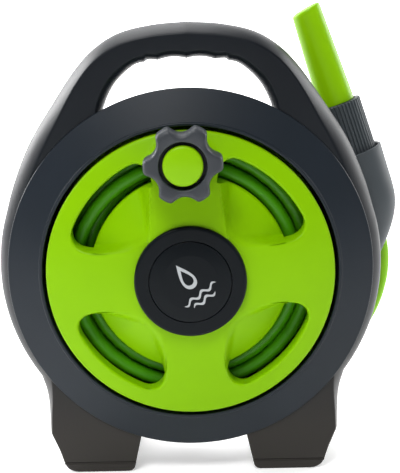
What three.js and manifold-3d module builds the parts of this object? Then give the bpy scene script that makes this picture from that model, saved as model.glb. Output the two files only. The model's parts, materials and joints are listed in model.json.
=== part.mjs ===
// A hand-carried garden hose reel: a moulded arch with a handle and two feet holds a drum that
// turns on a hollow water axle. Ten metres of hose are wound on the drum, and its free end runs
// to a spray nozzle kept in a holster on the right side.
// Units are millimetres, +Z up, front towards -Y. The pieces are drawn round the drum axis (the
// line x = 0, z = 0, with y = 0 at the front bezel's face) and the whole group is then shifted so
// that the origin lies on the floor under the middle of the reel.
import * as THREE from "three";
import { mergeVertices } from "three/addons/utils/BufferGeometryUtils.js";
import Module from "manifold-3d";

const wasm = await Module();
wasm.setup();

// ---- driving dimensions -------------------------------------------------------------------
const AXIS_HEIGHT = 162.5; // drum axis above the floor
const AXIS_X = -8.7; // drum axis left of the footprint's middle
const BEZEL_Y = -29.8; // bezel face ahead of the footprint's middle
const GAP = 0.3; // clearance between pieces that touch
const WALL = 3; // moulding wall

const ARCH_FRONT = 12; // front face of the arch
const ARCH_SPLIT = 32; // where its two halves meet
const ARCH_BACK = 52; // back face of the arch
const ARCH_R = 148; // its round sides
const TUNNEL_R = 113; // the drum turns in this tunnel
const HOUSING_R = 116; // outside of the tunnel behind the arch
const HOUSING_BACK = 86; // outer face of the back wall
const BACK_WALL = 3.5;
const FOOT_BACK = 96; // the feet reach this far back
const SHELL_BOTTOM = -154; // the shells end here, on the foot pads
const BORE_TOP = 119.5; // lower edge of the hand opening

const BEZEL_OUT = 139.4;
const BEZEL_IN = 112;
const BEZEL_SLOPE = 10.2; // its face falls back this far from the inner edge to the outer one
const BEZEL_DEPTH = ARCH_FRONT - GAP;

const DRUM_TURN = 2.2; // degrees the drum is turned at rest, anticlockwise from the front
const DRUM_R = 109;
const DRUM_RIM_Y = -2.5;
const DOME_RISE = 19;
const FLANGE_BACK = 6;
const REAR_FLANGE = 67;
const REAR_FLANGE_THICK = 3;
const BARREL_R = 40;
const WINDOW_OUT = 95; // windows reach out to here
const WINDOW_FLOOR = 75.5; // and are open from here outwards
const HUB_R = 41.6;
const HUB_CAP_R = 30.3;
const HUB_FACE = -26.3;

const AXLE_R = 10;
const CRANK_R = 90; // knob centre from the drum axis
const KNOB_TIP_R = 28.7;
const KNOB_BACK = -20;
const KNOB_FRONT = -52;

const HOSE_R = 5.5;
const TAIL_Y = 34; // the hose starts at this depth inside the barrel
const WINDING_IN = 42;
const WINDING_OUT = 97;
const WINDING_FRONT = 8;
const WINDING_BACK = 65.5;

const PORT_Y = 99; // middle of the inlet's port
const PORT_END = 48; // and how far it reaches below the axis

const POST_R = 5.5; // screw posts in the shells
const SHANK_HOLE_R = 2.2;
const HEAD_WELL_R = 4.7;
const PILOT_R = 1.9;
const CLEARANCE_R = 2.1;

const NOZZLE_Y = 76;
const NOZZLE_LEAN = 18.5; // degrees the nozzle leans to the left
const NOZZLE_JOINT = new THREE.Vector3(117.94, NOZZLE_Y, 119.09); // barrel meets collar here
const BARREL_LENGTH = 77.6;
const COLLAR_R = 18.9;
const COLLAR_LENGTH = 48;
const RIB_DEPTH = 0.9;
const HOLSTER_R = 23.2;

// ---- materials ----------------------------------------------------------------------------
const plastic = (hex, roughness) => () =>
  new THREE.MeshStandardMaterial({ color: hex, roughness, metalness: 0 });
const steel = () => new THREE.MeshStandardMaterial({ color: 0xb9bcc0, roughness: 0.35, metalness: 1 });
const charcoal = plastic(0x4a5055, 0.5);
const lime = plastic(0xa6d40a, 0.4);
const hoseGreen = plastic(0x7fb414, 0.45);
const rubber = plastic(0x1c1d1f, 0.8);
const acetal = plastic(0xe6e4dc, 0.4);

// ---- small tools --------------------------------------------------------------------------
const rad = THREE.MathUtils.degToRad;
const v2 = (x, y) => new THREE.Vector2(x, y);
const smooth = THREE.MathUtils.smoothstep;

// A closed three.js geometry becomes a solid that can be cut and joined.
function solid(geometry) {
  const bare = geometry.index ? geometry.clone() : geometry;
  for (const key of Object.keys(bare.attributes)) if (key !== "position") bare.deleteAttribute(key);
  const welded = mergeVertices(bare, 1e-4);
  const p = welded.attributes.position.array;
  const index = welded.index.array;
  const tris = [];
  let volume = 0;
  for (let i = 0; i < index.length; i += 3) {
    const [a, b, c] = [index[i], index[i + 1], index[i + 2]];
    if (a === b || b === c || a === c) continue;
    tris.push(a, b, c);
    const [A, B, C] = [a, b, c].map((k) => new THREE.Vector3(p[3 * k], p[3 * k + 1], p[3 * k + 2]));
    volume += A.dot(B.cross(C));
  }
  if (volume < 0) tris.reverse();
  return new wasm.Manifold(
    new wasm.Mesh({ numProp: 3, vertProperties: new Float32Array(p), triVerts: new Uint32Array(tris) }),
  );
}

// A solid becomes a geometry again.
function geometryOf(body) {
  const mesh = body.getMesh();
  const geometry = new THREE.BufferGeometry();
  geometry.setAttribute("position", new THREE.BufferAttribute(new Float32Array(mesh.vertProperties), 3));
  geometry.setIndex(new THREE.BufferAttribute(new Uint32Array(mesh.triVerts), 1));
  geometry.computeVertexNormals();
  return geometry;
}

// Moves a geometry's vertices by a rule of their place.
function reshape(geometry, rule) {
  const p = geometry.attributes.position;
  const point = new THREE.Vector3();
  for (let i = 0; i < p.count; i++) {
    point.fromBufferAttribute(p, i);
    rule(point);
    p.setXYZ(i, point.x, point.y, point.z);
  }
  return geometry;
}

// Turned piece round the Y axis: pairs of radius and depth, closed on themselves.
function turned(profile, segments = 32) {
  const points = profile.map(([r, y]) => v2(r, y));
  points.push(points[0].clone());
  return solid(new THREE.LatheGeometry(points, segments));
}

// Ring with a plain rectangular section.
const ring = (inner, outer, y0, y1, segments = 32) =>
  turned([[inner, y0], [outer, y0], [outer, y1], [inner, y1]], segments);

// Solid disc or pin along Y.
const disc = (radius, y0, y1, segments = 24) =>
  solid(new THREE.CylinderGeometry(radius, radius, y1 - y0, segments).translate(0, (y0 + y1) / 2, 0));

const box = (x0, x1, y0, y1, z0, z1) =>
  solid(
    new THREE.BoxGeometry(x1 - x0, y1 - y0, z1 - z0).translate((x0 + x1) / 2, (y0 + y1) / 2, (z0 + z1) / 2),
  );

// Plate with an outline in the X-Z plane, from depth y0 back to y1.
function plateGeometry(shape, y0, y1, steps = 1, curveSegments = 8) {
  const options = { depth: y1 - y0, bevelEnabled: false, steps, curveSegments };
  return new THREE.ExtrudeGeometry(shape, options).rotateX(Math.PI / 2).translate(0, y1, 0);
}
const plate = (shape, y0, y1, curveSegments = 8) => solid(plateGeometry(shape, y0, y1, 1, curveSegments));

const unite = (...bodies) => bodies.reduce((sum, body) => sum.add(body));
const cut = (body, ...tools) => tools.reduce((rest, tool) => rest.subtract(tool), body);
const turnY = (body, degrees) => body.rotate([0, degrees, 0]);

// A point at a radius and an angle (anticlockwise from +X as seen from the front).
const polar = (r, degrees) => [r * Math.cos(rad(degrees)), r * Math.sin(rad(degrees))];

const reel = new THREE.Group();
function add(name, body, material, parent = reel) {
  const mesh = new THREE.Mesh(geometryOf(body), material());
  mesh.name = name;
  parent.add(mesh);
  return mesh;
}

// ---- the arch: outline, edge rounding, hand opening ------------------------------------------
// Right-hand side of the outline, from the foot up to the top of the handle. A coarse one serves
// for the pocket inside.
function archSide(coarse) {
  const [flareSteps, sideSteps, legSteps] = coarse ? [2, 4, 8] : [5, 6, 16];
  const foot = [v2(104.8, SHELL_BOTTOM), v2(108, -147), v2(110.6, -141), v2(114, -133)];
  const flare = new THREE.SplineCurve([v2(114, -133), v2(114.2, -121), v2(114.7, -108), v2(116.3, -98),
    v2(...polar(ARCH_R, -36))]).getPoints(flareSteps);
  const side = new THREE.Path().absarc(0, 0, ARCH_R, rad(-36), rad(14), false).getPoints(sideSteps);
  const leg = new THREE.SplineCurve([v2(...polar(ARCH_R, 14)), v2(134.6, 66), v2(121.3, 97), v2(103.6, 125),
    v2(84, 153), v2(70, 167.5), v2(52, 178.5), v2(27, 184.6), v2(0, 186.8)]).getPoints(legSteps);
  return [...foot, ...flare.slice(1), ...side.slice(1), ...leg.slice(1)];
}

// Whole outline; the feet's inner edges lean in and meet the round underside.
function archShape(coarse) {
  const right = archSide(coarse);
  const inner = [v2(46, SHELL_BOTTOM), v2(41.5, -134)];
  const under = new THREE.Path().absarc(0, 0, 131, rad(-72), rad(-108), true).getPoints(3);
  const left = right.map((p) => v2(-p.x, p.y)).reverse();
  const outline = [...right, ...left.slice(1), ...inner.map((p) => v2(-p.x, p.y)), ...under.reverse(),
    ...inner.slice().reverse()];
  return new THREE.Shape(outline);
}

// How far the face of the arch stands in from its widest line: little at the handle's top and at
// the feet, most at the sides.
function faceInset(degrees) {
  const fromTop = Math.abs(90 - degrees) > 180 ? 360 - Math.abs(90 - degrees) : Math.abs(90 - degrees);
  return 7.5 + 5 * smooth(fromTop, 22, 55) - 8.5 * smooth(fromTop, 122, 140);
}

// The arch's outside is a parabola across its depth: full width at the parting line.
function archBlock(y0, y1, inset = 0) {
  const half = (ARCH_BACK - ARCH_FRONT) / 2;
  const steps = inset > 0 ? 1 : 3;
  return solid(reshape(plateGeometry(archShape(inset > 0), y0, y1, steps), (p) => {
    const r = Math.hypot(p.x, p.z);
    const t = (p.y - ARCH_SPLIT) / half;
    const angle = THREE.MathUtils.radToDeg(Math.atan2(p.z, p.x));
    const narrower = (r - inset - faceInset(angle) * t * t) / r;
    p.x *= r > 132 ? narrower : 1;
    p.z *= r > 132 && p.z > SHELL_BOTTOM + 1 ? narrower : 1;
  }));
}

// Opening for the hand: round lower edge, four shallow finger recesses along the grip.
function handShape(grow = 0) {
  const side = [v2(60 + grow, 104), v2(65 + grow, 116), v2(62 + grow, 128), v2(55 + grow, 141),
    v2(46 + grow, 150.5 + grow), v2(38, 156 + grow)];
  const grip = [];
  for (let x = 32; x >= -32; x -= 5.333) {
    const recess = 1.6 * Math.abs(Math.sin((x * Math.PI) / 21.5));
    grip.push(v2(x, 159.6 - 0.0022 * x * x + recess + grow));
  }
  const lower = new THREE.Path().absarc(0, 0, BORE_TOP - grow, rad(119), rad(61), true).getPoints(5);
  return new THREE.Shape([...side, ...grip, ...side.map((p) => v2(-p.x, p.y)).reverse(), ...lower]);
}

// The opening widens towards the two faces, so the grip is rounded.
function handOpening() {
  const half = (ARCH_BACK - ARCH_FRONT) / 2;
  const geometry = plateGeometry(handShape(), ARCH_FRONT - 1, ARCH_BACK + 1, 4);
  return solid(reshape(geometry, (p) => {
    const t = Math.min(1.05, Math.abs(p.y - ARCH_SPLIT) / half);
    if (Math.hypot(p.x, p.z) > BORE_TOP + 3) {
      p.z += 5 * t ** 3;
      p.x += Math.sign(p.x) * 3 * t ** 3 * smooth(Math.abs(p.x), 30, 60);
    }
  }));
}

// Screw places of the two shells, as seen from the front.
const SHELL_SCREWS = [];
for (const side of [-1, 1]) {
  SHELL_SCREWS.push([38 * side, 170], [95 * side, 103], [121 * side, -26], [78 * side, -138]);
}

// Pocket inside a shell half: the arch's outline pulled in by one wall.
function archPocket(y0, y1) {
  const pocket = archBlock(y0, y1, WALL);
  const keep = unite(
    plate(handShape(WALL), y0 - 1, y1 + 1, 4),
    disc(TUNNEL_R + WALL, y0 - 1, y1 + 1, 32),
    box(-200, 200, y0 - 1, y1 + 1, -200, SHELL_BOTTOM + WALL),
    box(-48.5, 48.5, y0 - 1, y1 + 1, -200, -100),
  );
  return cut(pocket, keep);
}

function screwPosts(y0, y1) {
  return SHELL_SCREWS.map(([x, z]) => disc(POST_R, y0, y1, 8).translate([x, 0, z]));
}

function screwHoles(radius, y0, y1) {
  return SHELL_SCREWS.map(([x, z]) => disc(radius, y0, y1, 6).translate([x, 0, z]));
}

// Hooks on the bezel and the slots they snap into.
const HOOK_ANGLES = [15, 60, 120, 165, 210, 330];
function hooks(clearance, y0, y1) {
  return HOOK_ANGLES.map((angle) =>
    turnY(box(122 - clearance, 125 + clearance, y0, y1, -6 - clearance, 6 + clearance), -angle));
}

function frontShell() {
  const y1 = ARCH_SPLIT - GAP / 2;
  let shell = archBlock(ARCH_FRONT, y1);
  shell = cut(shell, archPocket(ARCH_FRONT + WALL, y1 + 1));
  shell = unite(shell, ...screwPosts(ARCH_FRONT + 1, y1));
  return cut(shell, handOpening(), disc(TUNNEL_R, 0, 60, 48), ...screwHoles(SHANK_HOLE_R, 18, 60),
    ...hooks(0.4, ARCH_FRONT - 1, ARCH_FRONT + WALL + 3));
}

// Back half of the arch with the drum tunnel, the back wall and the rear of both feet.
function rearShell() {
  const y0 = ARCH_SPLIT + GAP / 2;
  let shell = archBlock(y0, ARCH_BACK);
  shell = cut(shell, archPocket(y0 - 1, ARCH_BACK - WALL));
  shell = unite(shell, ...screwPosts(y0, ARCH_BACK - 1), disc(HOUSING_R, y0, HOUSING_BACK, 48));
  for (const side of [-1, 1]) {
    const foot = new THREE.Shape([v2(46, SHELL_BOTTOM), v2(104.5, SHELL_BOTTOM), v2(107, -140),
      v2(104, -106), v2(88, -80), v2(40, -105), v2(42, -134)]);
    const block = plate(foot, ARCH_BACK - 6, FOOT_BACK);
    const hollow = plate(new THREE.Shape([v2(49.5, SHELL_BOTTOM + 4), v2(101, SHELL_BOTTOM + 4),
      v2(103, -140), v2(99, -124), v2(47, -124)]), ARCH_BACK - 6, FOOT_BACK - WALL);
    const leg = cut(block, hollow);
    shell = shell.add(side > 0 ? leg : leg.mirror([1, 0, 0]));
  }
  const slot = box(55, 140, ARCH_BACK + 0.5, 72, -100, -76);
  return cut(shell, handOpening(), disc(TUNNEL_R, 0, HOUSING_BACK - BACK_WALL, 48), slot,
    disc(AXLE_R + GAP, 60, 100, 24),
    ...screwHoles(SHANK_HOLE_R, 0, 60),
    ...screwHoles(HEAD_WELL_R, ARCH_BACK - 6, 60),
    ...elbowScrews().map(([x, z]) => disc(PILOT_R, 70, 100, 10).translate([x, 0, z])),
    ...holsterScrews().map(([x, z]) => disc(PILOT_R, 34, 60, 10).translate([x, 0, z])));
}

// Pad under a foot: it carries the foot's outline on, round at its outer and inner corner.
function footPad(side) {
  const top = SHELL_BOTTOM - GAP;
  const floor = -AXIS_HEIGHT;
  const shape = new THREE.Shape([v2(46.1, top), v2(46.8, -158), v2(48.4, -160.9), v2(51.5, floor),
    v2(93, floor), v2(98, -161.3), v2(101.8, -158.8), v2(104.6, top)]);
  const pad = plate(shape, ARCH_FRONT, FOOT_BACK);
  return side > 0 ? pad : pad.mirror([1, 0, 0]);
}

// Front bezel: a shallow cone with a bead round its inner edge, hollow from behind, with its hooks.
function bezel() {
  const [i, o, b] = [BEZEL_IN, BEZEL_OUT, BEZEL_DEPTH];
  const channel = turned([[i, 1.1], [i + 0.8, 0], [i + 1.8, 0], [i + 3, 1.2], [o - 0.8, BEZEL_SLOPE - 0.4],
    [o, BEZEL_SLOPE + 0.5], [o, b], [o - 4, b], [o - 4, BEZEL_SLOPE + 0.6], [i + 2.5, 3.6], [i + 2.5, b],
    [i, b]], 48);
  return unite(channel, ...hooks(0, BEZEL_SLOPE / 2 + 0.5, ARCH_FRONT + WALL + 2));
}

// ---- screws ---------------------------------------------------------------------------------
// Pan-head screw along Y: head towards +Y when length is positive, its tip at y.
function screw(tip, head, shankR, headR, headHeight) {
  const under = head - Math.sign(head - tip) * headHeight;
  const crown = head - Math.sign(head - tip) * 0.9;
  return solid(new THREE.LatheGeometry([v2(0, tip), v2(shankR, tip), v2(shankR, under), v2(headR, under),
    v2(headR, crown), v2(0, head)], 6));
}

// ---- drum ------------------------------------------------------------------------------------
const drum = new THREE.Group();
drum.rotation.y = -rad(DRUM_TURN);
reel.add(drum);

// Front surface of the dome over the spokes, and the dished floor between them.
const domeY = (r) => DRUM_RIM_Y - DOME_RISE * (1 - (Math.max(0, r - 30) / (DRUM_R - 30)) ** 1.6);
const floorY = (r) => -19 + (22 * (r - 44)) / (WINDOW_FLOOR - 44);

// Region behind a surface of revolution y = f(r), between two radii and back to y1.
function behind(f, r0, r1, y1, steps = 2, segments = 40) {
  const profile = [];
  for (let k = 0; k <= steps; k++) {
    const r = r0 + ((r1 - r0) * k) / steps;
    profile.push([r, f(r)]);
  }
  return turned([...profile, [r1, y1], [r0, y1]], segments);
}

// Window between two spokes: round outer corners, sides running in to the hub.
function windowShape(grow = 0) {
  const side = [[46, 28], [60, 21.5], [74, 18], [83, 17.5], [89, 19], [93, 22]];
  const points = side.map(([r, a]) => polar(r + (r > 85 ? grow : 0), a - (57.3 * grow) / r));
  const reach = WINDOW_OUT + grow;
  for (let a = 26; a <= 64; a += 9.5) points.push(polar(reach, a));
  points.push(...side.map(([r, a]) => polar(r + (r > 85 ? grow : 0), 90 - a + (57.3 * grow) / r)).reverse());
  return new THREE.Shape(points.map(([x, z]) => v2(x, z)));
}

const fourWindows = (grow, y0, y1) =>
  unite(...[0, 90, 180, 270].map((angle) => turnY(plate(windowShape(grow), y0, y1), angle)));

// Front flange: domed rim and four spokes, a dished floor between them, and the crank block.
function frontFlange() {
  let flange = turned([[14, domeY(14)], [30, domeY(30)], [50, domeY(50)], [70, domeY(70)], [88, domeY(88)],
    [DRUM_R - 1.6, domeY(DRUM_R - 1.6)], [DRUM_R, -1], [DRUM_R, FLANGE_BACK], [14, FLANGE_BACK]], 40);
  const crank = plate(new THREE.Shape([v2(-21, 62), v2(21, 62), v2(23, 84), v2(20, 100), v2(12, 105.5),
    v2(-12, 105.5), v2(-20, 100), v2(-23, 84)]), -18.5, -5);
  flange = flange.add(crank);
  const open = unite(behind(() => -60, 30, WINDOW_FLOOR, 0, 1), behind(() => -60, WINDOW_FLOOR, 100, 20, 1));
  const floor = behind(floorY, 30, WINDOW_FLOOR, 20);
  const windows = fourWindows(0, -60, 20);
  const front = windows.intersect(cut(open, floor));
  const back = windows.intersect(behind((r) => floorY(r) + 3, 34, 73, 20));
  const spokes = cut(behind((r) => domeY(r) + WALL, 34, 92, 20), fourWindows(WALL, -60, 30));
  const seat = domeY(23) + 3;
  const screws = drumScrews().map(([x, z]) =>
    unite(disc(2, -60, 20, 8), disc(4.2, -60, seat, 8)).translate([x, 0, z]));
  const post = disc(5.3, -60, 0, 16).translate([0, 0, CRANK_R]);
  return cut(flange, front, back, spokes, post, ...screws);
}

const drumScrews = () => [45, 135, 225, 315].map((angle) => polar(23, angle));

function rearFlange() {
  const y0 = REAR_FLANGE;
  const y1 = REAR_FLANGE + REAR_FLANGE_THICK;
  const flange = turned([[14, 50], [30, 50], [30, y0], [DRUM_R, y0], [DRUM_R, y1 + 2], [DRUM_R - 3, y1 + 2],
    [DRUM_R - 3, y1], [14, y1]], 40);
  const holes = [30, 90, 150, 210, 270, 330].map((a) => {
    const [x, z] = polar(76, a);
    return disc(13, 40, 90, 12).translate([x, 0, z]);
  });
  const pilots = drumScrews().map(([x, z]) => disc(PILOT_R, 40, 66, 10).translate([x, 0, z]));
  return cut(flange, ...holes, ...pilots);
}

// Barrel that the hose is wound on, with the hole where the hose starts.
function drumBarrel() {
  const tube = ring(BARREL_R - WALL, BARREL_R, FLANGE_BACK + GAP, REAR_FLANGE - GAP, 32);
  return cut(tube, radialPin(6.4, 30, 50, TAIL_Y));
}

// Round pin pointing straight down from the drum axis.
function radialPin(radius, r0, r1, y, segments = 16) {
  const pin = new THREE.CylinderGeometry(radius, radius, r1 - r0, segments).rotateX(Math.PI / 2);
  return solid(pin.translate(0, y, -(r0 + r1) / 2));
}

// Sleeve that takes the water from the axle, with the barb the hose is pushed onto.
function swivelSleeve() {
  const sleeve = ring(AXLE_R + 0.5, 17, 24, 44, 32);
  return cut(unite(sleeve, radialPin(4.2, 14, 31, TAIL_Y)), radialPin(2.6, 5, 40, TAIL_Y, 10));
}

function hoseTail() {
  return cut(radialPin(HOSE_R, 20, WINDING_IN - 1, TAIL_Y), radialPin(4.5, 10, 60, TAIL_Y));
}

function hoseClamp() {
  return cut(radialPin(7.4, 21.5, 27, TAIL_Y, 20), radialPin(HOSE_R + GAP, 10, 60, TAIL_Y));
}

function hubRing() {
  const lower = domeY(HUB_R) - GAP;
  return turned([[20, HUB_FACE + 4], [HUB_CAP_R + 0.4, HUB_FACE + 4], [HUB_CAP_R + 0.4, HUB_FACE + 0.4],
    [HUB_CAP_R + 1, HUB_FACE], [HUB_R - 2, HUB_FACE + 0.6], [HUB_R, HUB_FACE + 2.4], [HUB_R, lower],
    [38, lower - 0.4], [20, domeY(20) - GAP]], 32);
}

function hubCap() {
  const r = HUB_CAP_R;
  const rear = HUB_FACE + 4 - GAP;
  const section = [v2(0, rear), v2(r, rear), v2(r, HUB_FACE), v2(r - 0.8, HUB_FACE - 0.8),
    v2(r - 12, HUB_FACE - 1.8), v2(0, HUB_FACE - 2.3)];
  return solid(new THREE.LatheGeometry(section, 36));
}

// ---- crank knob ------------------------------------------------------------------------------
// Six lobes with round scoops between them: a disc less six circles that stand on its edge.
const SCOOP_R = 11;
const SCOOP_AT = 33;
function knobShape() {
  const points = [];
  for (let a = 0; a < 360; a += 7.5) {
    const off = rad(((a + 360) % 60) - 30);
    const reach = SCOOP_R ** 2 - (SCOOP_AT * Math.sin(off)) ** 2;
    const scoop = reach > 0 ? SCOOP_AT * Math.cos(off) - Math.sqrt(reach) : KNOB_TIP_R;
    points.push(v2(...polar(Math.min(KNOB_TIP_R, scoop), a)));
  }
  return new THREE.Shape(points);
}

function crankKnob() {
  const depth = KNOB_BACK - KNOB_FRONT;
  const geometry = plateGeometry(knobShape(), KNOB_FRONT, KNOB_BACK, 4);
  const body = solid(reshape(geometry, (p) => {
    const t = (p.y - KNOB_FRONT) / depth;
    const front = 0.84 + 0.16 * Math.sqrt(1 - (1 - Math.min(1, t / 0.3)) ** 2);
    const rear = 0.8 + 0.2 * Math.sqrt(1 - Math.max(0, (t - 0.45) / 0.55) ** 2);
    p.x *= front * rear;
    p.z *= front * rear;
  }));
  const recess = disc(17.4, KNOB_FRONT - 1, KNOB_FRONT + 9, 32);
  return cut(body, recess, disc(6.2, -80, 0, 24)).translate([0, 0, CRANK_R]);
}

// Post that the knob turns on, with a flange against the crank block.
function crankPost() {
  const front = KNOB_FRONT + 8.7;
  const post = turned([[2.2, front], [5.9, front], [5.9, -18.9], [5, -18.9], [5, -8], [2.2, -8]], 20);
  return post.translate([0, 0, CRANK_R]);
}

function knobCap() {
  const face = KNOB_FRONT + 1;
  const cap = new THREE.LatheGeometry([v2(0, face - 1.4), v2(13.4, face), v2(14.6, face + 1.2),
    v2(14.6, face + 6.5), v2(12.7, face + 6.5), v2(12.7, face + 2.2), v2(0, face + 2.2)], 24);
  return solid(cap).translate([0, 0, CRANK_R]);
}

// ---- nozzle ------------------------------------------------------------------------------------
// The nozzle is drawn round the Z axis with its joint at the origin, then leaned into place.
const nozzle = new THREE.Group();
nozzle.position.copy(NOZZLE_JOINT);
nozzle.rotation.y = -rad(NOZZLE_LEAN);
reel.add(nozzle);

// Turned piece round the nozzle's own axis: pairs of radius and height.
const upright = (profile, segments = 24) => turned(profile, segments).rotate([90, 0, 0]);
const uprightDisc = (radius, z0, z1, segments) => disc(radius, z0, z1, segments).rotate([90, 0, 0]);

// Lime barrel: slimmer at its closed end, which is cut off at a slant, with a water passage.
function nozzleBarrel() {
  const body = upright([[4, 0], [14.3, 0], [14.1, 12], [12.9, 45], [11.9, BARREL_LENGTH + 6],
    [4, BARREL_LENGTH + 6]], 24);
  const slant = box(-40, 40, -40, 40, 0, 40).rotate([0, -11, 0]).translate([0, 0, BARREL_LENGTH]);
  return cut(body, slant, faceSeat(9.2, 1.4));
}

// Seat of the spray face in the slanted end.
function faceSeat(radius, deep) {
  return uprightDisc(radius, -deep, 10, 20).rotate([0, -11, 0]).translate([0, 0, BARREL_LENGTH]);
}

function sprayFace() {
  let face = uprightDisc(8.9, -1.1, 0.2, 20);
  for (let a = 0; a < 360; a += 60) {
    const [x, y] = polar(5.4, a);
    face = face.subtract(uprightDisc(0.9, -3, 3, 6).translate([x, y, 0]));
  }
  return face.rotate([0, -11, 0]).translate([0, 0, BARREL_LENGTH]);
}

// Twist collar with fine ribs along its length.
function nozzleCollar() {
  const points = [];
  const ribs = 22;
  for (let k = 0; k < ribs; k++) {
    for (const [part, deep] of [[0, 0], [0.45, 0], [0.6, RIB_DEPTH], [0.85, RIB_DEPTH]]) {
      points.push(v2(...polar(COLLAR_R - deep, (360 * (k + part)) / ribs)));
    }
  }
  const body = plate(new THREE.Shape(points), 0, COLLAR_LENGTH).rotate([90, 0, 0]);
  const inside = uprightDisc(15, -COLLAR_LENGTH - 5, 5, 24);
  return cut(body.translate([0, 0, -COLLAR_LENGTH - GAP]), inside);
}

// Stem inside the collar: carries the water up to the barrel, threaded for the hose nut below.
function nozzleStem() {
  return upright([[4, -74], [9.5, -74], [9.5, -54], [14.6, -52], [14.6, -31.4], [13.6, -31.4], [13.6, -28.6],
    [14.6, -28.6], [14.6, -GAP], [4, -GAP]], 24);
}

const stemSeal = () => upright([[13.7, -31.2], [14.8, -31.2], [14.8, -28.8], [13.7, -28.8]], 24);

// Nut that clamps the hose onto the stem.
function hoseNut() {
  return upright([[6, -86], [10, -86], [12.5, -82], [12.5, -58], [9.8, -58], [9.8, -80], [6, -80]], 20);
}

// Holster: a round cup that narrows and bends upright at its lower end. It is drawn straight and
// then bent: below the height BEND its middle line curves back towards the vertical.
const BEND = -80.4;
function holsterLine(s) {
  const down = Math.max(0, BEND - s);
  return -0.0065 * down * down;
}

// Turned piece that follows the bent middle line.
function bentCup(points) {
  const cup = new THREE.LatheGeometry(points, 24).rotateX(Math.PI / 2);
  return solid(reshape(cup, (p) => {
    p.x += holsterLine(p.z);
  }));
}

function nozzleHolster() {
  const outside = [[HOLSTER_R, -41], [22.8, -56.4], [22, BEND], [19.6, -95.4], [15.6, -109.4],
    [10.5, -124.4], [7.6, -135.4]];
  const inside = outside.map(([r, s]) => [r - 2.2, s]).reverse();
  const points = [...inside, ...outside].map(([r, s]) => v2(r, s));
  points.push(points[0].clone());
  const bent = bentCup(points);
  const backOpening = box(-60, 40, 0, 60, -166, -92.4);
  const plateShape = new THREE.Shape([v2(-22, -100.4), v2(0, -100.4), v2(0, -46.4), v2(-22, -46.4)]);
  const y0 = ARCH_BACK + GAP - NOZZLE_Y;
  const mountPlate = plate(plateShape, y0, y0 + 3.5);
  const web = box(-13.5, -2, y0 + 1, -12, -92.4, -54.4);
  const room = [[0, -38], [21, -38], [20.6, -56.4], [19.8, BEND], [17.4, -95.4], [13.4, -109.4],
    [8.3, -124.4], [5.4, -141.4], [0, -141.4]];
  const hollow = bentCup(room.map(([r, s]) => v2(r, s)));
  const screwHole = disc(CLEARANCE_R, y0 - 5, y0 + 8, 10);
  const screws = holsterScrewsLocal().map(([x, z]) => screwHole.translate([x, 0, z]));
  return cut(unite(bent, cut(unite(mountPlate, web), hollow)), backOpening, ...screws);
}

const holsterScrewsLocal = () => [[-18.5, -56.4], [-18.5, -90.4]];

// The same screw places in the reel's own directions.
function holsterScrews() {
  return holsterScrewsLocal().map(([x, z]) => {
    const p = new THREE.Vector3(x, 0, z).applyEuler(nozzle.rotation).add(NOZZLE_JOINT);
    return [p.x, p.z];
  });
}

// ---- hose -------------------------------------------------------------------------------------
// Free stretch: off the bottom of the winding, out through the slot, up behind the arch and into
// the holster. The points are the middle of the hose.
const HOSE_ROUTE = [
  [45.8, 58.6, -91.6], [60, 59.2, -91.6], [77, 61, -91], [94, 64, -88.6], [110, 67.5, -83.4],
  [125, 71.5, -75], [137, 75, -64], [146, 78, -51], [152.2, 80.3, -36.5], [155.8, 81.8, -21],
  [156.4, 82.3, -6], [154.2, 81.4, 8], [150.4, 78.9, 21], [147.2, 76.7, 31.5], [144.6, 76, 39.4],
];

function hoseLead() {
  const route = new THREE.CatmullRomCurve3(HOSE_ROUTE.map(([x, y, z]) => new THREE.Vector3(x, y, z)),
    false, "centripetal");
  const section = new THREE.Shape().absarc(0, 0, HOSE_R, 0, 2 * Math.PI, false);
  const options = { extrudePath: route, steps: 18, curveSegments: 4, bevelEnabled: false };
  return solid(new THREE.ExtrudeGeometry(section, options));
}

// ---- water inlet ------------------------------------------------------------------------------
const elbowScrews = () => [[-22, 0], [22, 0]];

// Hollow axle, fixed to the back wall, with two seal grooves and a cross hole for the water.
function waterAxle() {
  const tube = turned([[4, 30], [4, 94], [AXLE_R, 94], [AXLE_R, 40.8], [8.4, 40.8], [8.4, 38], [AXLE_R, 38],
    [AXLE_R, 30], [AXLE_R, 29.8], [8.4, 29.8], [8.4, 27], [AXLE_R, 27], [AXLE_R, -14], [2.2, -14], [2.2, 20],
    [0.6, 20], [0.6, 30]], 16);
  const flange = ring(AXLE_R - 1, 17, HOUSING_BACK - BACK_WALL - 3, HOUSING_BACK - BACK_WALL - GAP, 32);
  return cut(unite(tube, flange), radialPin(2.6, -30, 30, TAIL_Y, 10));
}

// Elbow on the back wall: a round body over the axle's end and a port pointing down.
function inletElbow() {
  const y0 = HOUSING_BACK + GAP;
  const body = disc(16, y0, 112, 24);
  const ears = plate(new THREE.Shape([v2(-27, -6), v2(27, -6), v2(27, 6), v2(-27, 6)]), y0, y0 + 4);
  const port = radialPin(9.5, 5, PORT_END, PORT_Y, 20);
  const bore = unite(disc(AXLE_R + GAP, y0 - 1, 95, 24), disc(5, 90, 104, 16), radialPin(5, 0, 60, PORT_Y));
  const screws = elbowScrews().map(([x, z]) => disc(CLEARANCE_R, 80, 100, 10).translate([x, 0, z]));
  return cut(unite(body, ears, port), bore, ...screws);
}

// Push-on tap connector with a collar and a seal groove, pointing down.
function inletConnector() {
  const top = -PORT_END - GAP - 2;
  return turned([[4.5, 0], [11, 0], [11, 9], [8.2, 9], [8.2, 20], [7, 20], [7, 23], [8.2, 23], [8.2, 33],
    [7.2, 34], [4.5, 34]], 20).rotate([-90, 0, 0]).translate([0, PORT_Y, top]);
}

function inletWasher() {
  return ring(5, 9.3, 0, 1.6, 20).rotate([-90, 0, 0]).translate([0, PORT_Y, -PORT_END - GAP - 0.1]);
}

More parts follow.
